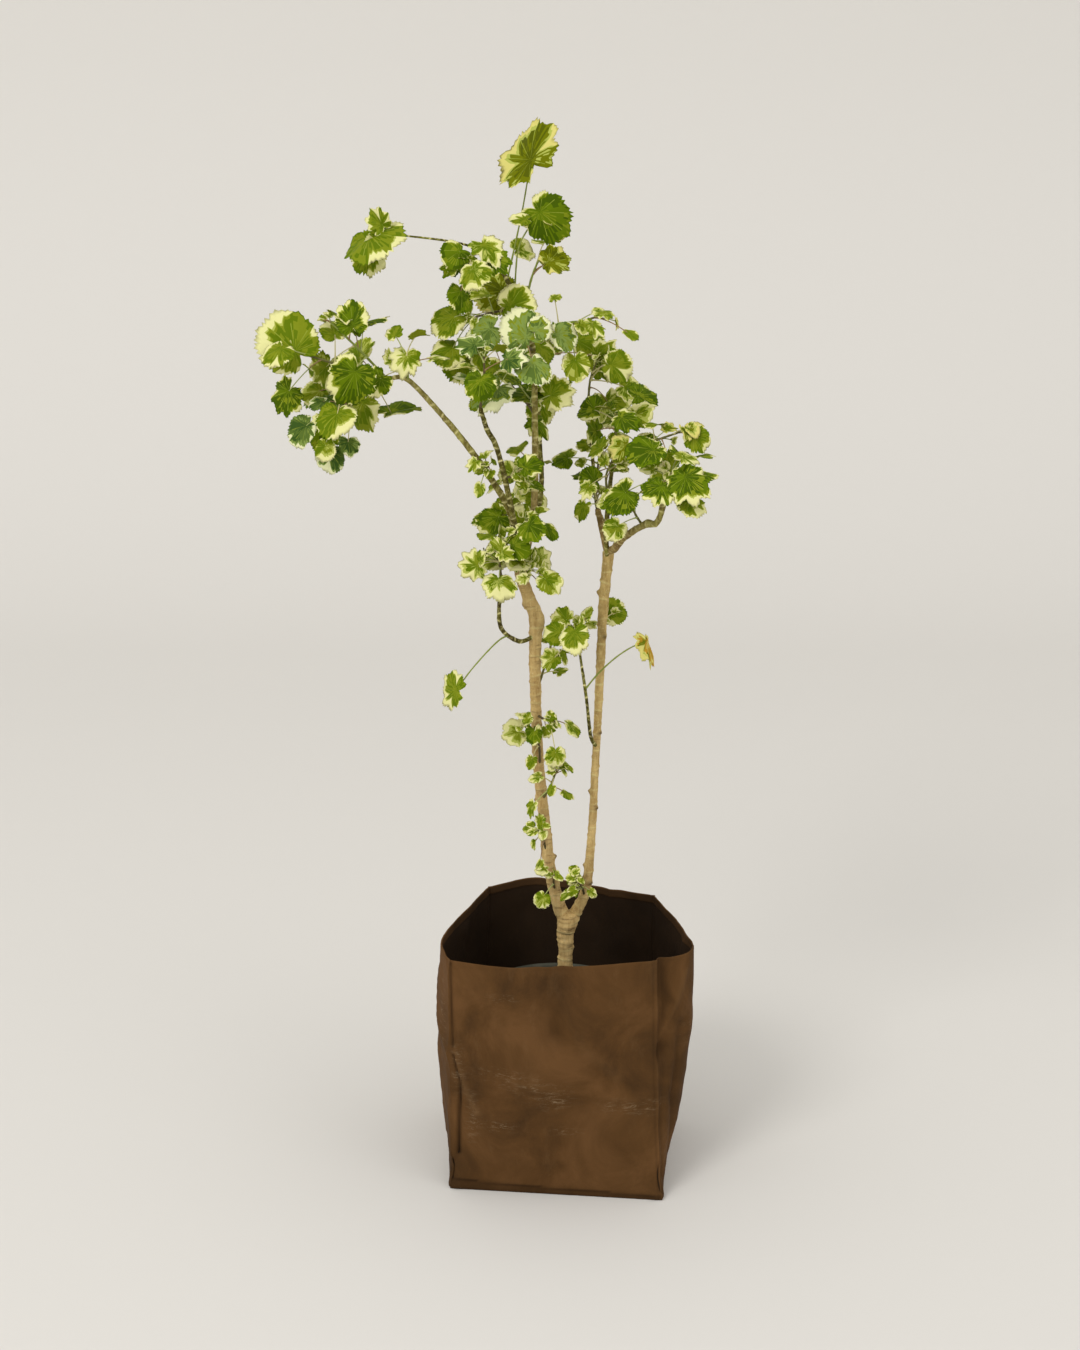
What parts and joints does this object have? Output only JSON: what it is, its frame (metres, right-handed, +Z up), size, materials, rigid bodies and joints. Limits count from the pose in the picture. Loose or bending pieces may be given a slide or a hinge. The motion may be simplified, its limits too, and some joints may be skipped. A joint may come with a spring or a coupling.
{
  "type": "potted sapling in a planter bag",
  "caption": "Young variegated aralia with two slender stems and rounded, lobed, cream-edged leaves, its root ball in a nursery pot that stands in a tall brown waxed-canvas planter bag.",
  "frame": {"origin": "on the flat underside of the planter bag, under the foot of the trunk", "axes": "+Z up along the trunk, -Y towards the side that the leaves turn to, +X to the right seen from that side"},
  "size_m": [0.573, 0.3865, 1.3967],
  "materials": {
    "canvas": "matt waxed cloth",
    "pot_plastic": "dull moulded plastic",
    "soil": "rough, moist",
    "bark": "matt bark",
    "foliage": "soft sheen"
  },
  "bodies": {
    "root": {"bag": "canvas", "bough_centre": "bark", "bough_inner": "bark", "bough_left": "bark", "bough_rear": "bark", "bough_right": "bark", "bough_side": "bark", "foliage_back_low": "foliage", "foliage_between_back": "foliage", "foliage_between_top": "foliage", "foliage_crown_back": "foliage", "foliage_crown_front": "foliage", "foliage_crown_left": "foliage", "foliage_crown_mid": "foliage", "foliage_droop_leaf": "foliage", "foliage_far_left": "foliage", "foliage_foot_left": "foliage", "foliage_foot_right": "foliage", "foliage_inner_top": "foliage", "foliage_leader_low": "foliage", "foliage_leader_top": "foliage", "foliage_left_end": "foliage", "foliage_left_hang": "foliage", "foliage_left_low": "foliage", "foliage_left_over": "foliage", "foliage_left_top": "foliage", "foliage_low_left": "foliage", "foliage_low_right": "foliage", "foliage_low_side": "foliage", "foliage_lower_left": "foliage", "foliage_mid_back": "foliage", "foliage_mid_leaf": "foliage", "foliage_mid_low": "foliage", "foliage_mid_right": "foliage", "foliage_mid_top": "foliage", "foliage_mid_upper": "foliage", "foliage_orange_leaf": "foliage", "foliage_rear_left": "foliage", "foliage_rear_mid": "foliage", "foliage_right_arch": "foliage", "foliage_right_back": "foliage", "foliage_right_end": "foliage", "foliage_right_far": "foliage", "foliage_right_inner": "foliage", "foliage_right_mid": "foliage", "foliage_right_top": "foliage", "foliage_second": "foliage", "foliage_top": "foliage", "foliage_upper_left": "foliage", "foliage_upper_mid": "foliage", "leader_right": "bark", "nursery_pot": "pot_plastic", "root_ball": "soil", "stem_left": "bark", "stem_right": "bark", "stub_right": "bark", "trunk": "bark", "twig_arching": "bark", "twig_back": "bark", "twig_middle": "bark"}
  },
  "joints": []
}
